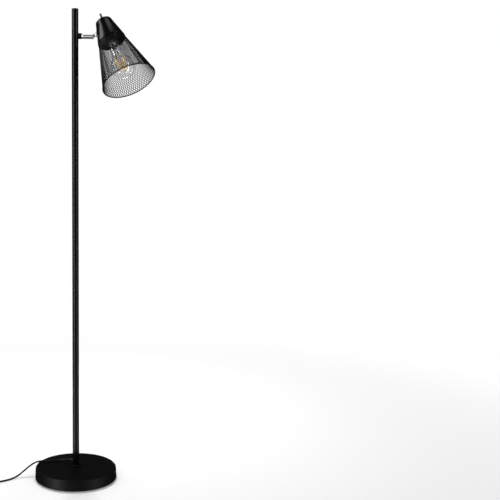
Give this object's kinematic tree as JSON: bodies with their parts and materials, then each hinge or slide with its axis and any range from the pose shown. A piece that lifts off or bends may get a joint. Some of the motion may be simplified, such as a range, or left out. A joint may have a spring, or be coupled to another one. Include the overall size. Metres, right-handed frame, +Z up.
{
  "type": "floor lamp",
  "caption": "Floor lamp with a round weighted base, a thin straight pole, and a swivelling conical wire cage head on a short side arm, with a clear bulb and a mains cord.",
  "frame": {"origin": "middle of the base's underside, on the floor", "axes": "+Z up along the pole, +X along the arm towards the head, -Y the front, where the open end of the head leans"},
  "size_m": [0.5774, 0.2945, 1.427],
  "materials": {
    "black_paint": "semi-gloss black powder coat",
    "black_wire": "semi-gloss black paint on wire",
    "foam_pad": "dull black foam rubber",
    "cast_iron": "raw casting",
    "zinc_steel": "zinc plated",
    "grey_steel": "dull nickel",
    "chrome": "polished",
    "knob_metal": "ribbed nickel",
    "nickel": "plated",
    "brass": "plain",
    "white_nylon": "natural nylon",
    "black_plastic": "satin black moulding",
    "black_cord": "soft black sheath",
    "clear_glass": "clear",
    "amber_phosphor": "yellow phosphor coating"
  },
  "bodies": {
    "stand": {"base_pad": "foam_pad", "base_cover": "black_paint", "base_weight": "cast_iron", "base_spacer": "zinc_steel", "base_stud": "zinc_steel", "base_washer": "zinc_steel", "base_nut": "zinc_steel", "foot_collar": "black_plastic", "foot_bush": "zinc_steel", "pole_lower": "black_paint", "pole_middle": "black_paint", "pole_upper": "black_paint", "pole_joiners": "zinc_steel", "pole_cap": "black_paint", "arm_collar": "black_paint", "arm_nipple": "zinc_steel", "arm_nut": "zinc_steel", "arm_retainer": "zinc_steel", "supply_wire": "black_cord", "cord_relief": "black_plastic", "cord": "black_cord", "cord_coil": "black_cord", "cord_tail": "black_cord", "plug_body": "black_plastic", "plug_blades": "brass"},
    "arm": {"arm_tube": "chrome", "ball_seat": "white_nylon", "seat_spring": "zinc_steel"},
    "swivel": {"ball_stud": "chrome", "lock_nut": "grey_steel", "stud_nut": "zinc_steel"},
    "head": {"swivel_plate": "grey_steel", "saddle_washer": "zinc_steel", "plate_screws": "grey_steel", "plate_nuts": "zinc_steel", "cup": "black_paint", "switch_body": "black_plastic", "switch_nut": "grey_steel", "switch_washer": "zinc_steel", "holder_strap": "zinc_steel", "holder_nipple": "zinc_steel", "holder_nut": "zinc_steel", "lampholder_body": "black_plastic", "lampholder_shell": "brass", "holder_contact": "brass", "bulb_glass": "clear_glass", "bulb_cap": "nickel", "bulb_insulator": "black_plastic", "bulb_contact": "nickel", "bulb_stem": "clear_glass", "bulb_filaments": "amber_phosphor", "filament_supports": "nickel", "cage_band": "black_wire", "cage_mesh": "black_wire", "cage_rim": "black_wire", "head_wire": "black_cord"},
    "knob": {"switch_knob": "knob_metal"}
  },
  "joints": [
    {"name": "arm_roll", "type": "hinge", "parent": "stand", "child": "arm", "pos_m": [0.0525, 0, 1.3465], "axis": [1, 0, 0], "range_deg": [-170, 170]},
    {"name": "head_tilt", "type": "hinge", "parent": "arm", "child": "swivel", "pos_m": [0.0525, 0, 1.3465], "axis": [0, -0.5299, -0.8481], "range_deg": [-40, 5]},
    {"name": "head_turn", "type": "hinge", "parent": "swivel", "child": "head", "pos_m": [0.0525, 0, 1.3465], "axis": [-0.8897, 0.3872, -0.242], "range_deg": [-30, 30]},
    {"name": "switch_turn", "type": "hinge", "parent": "head", "child": "knob", "pos_m": [0.08357, -0.0031, 1.39028], "axis": [-0.3298, 0.4195, 0.8458], "continuous": true}
  ]
}
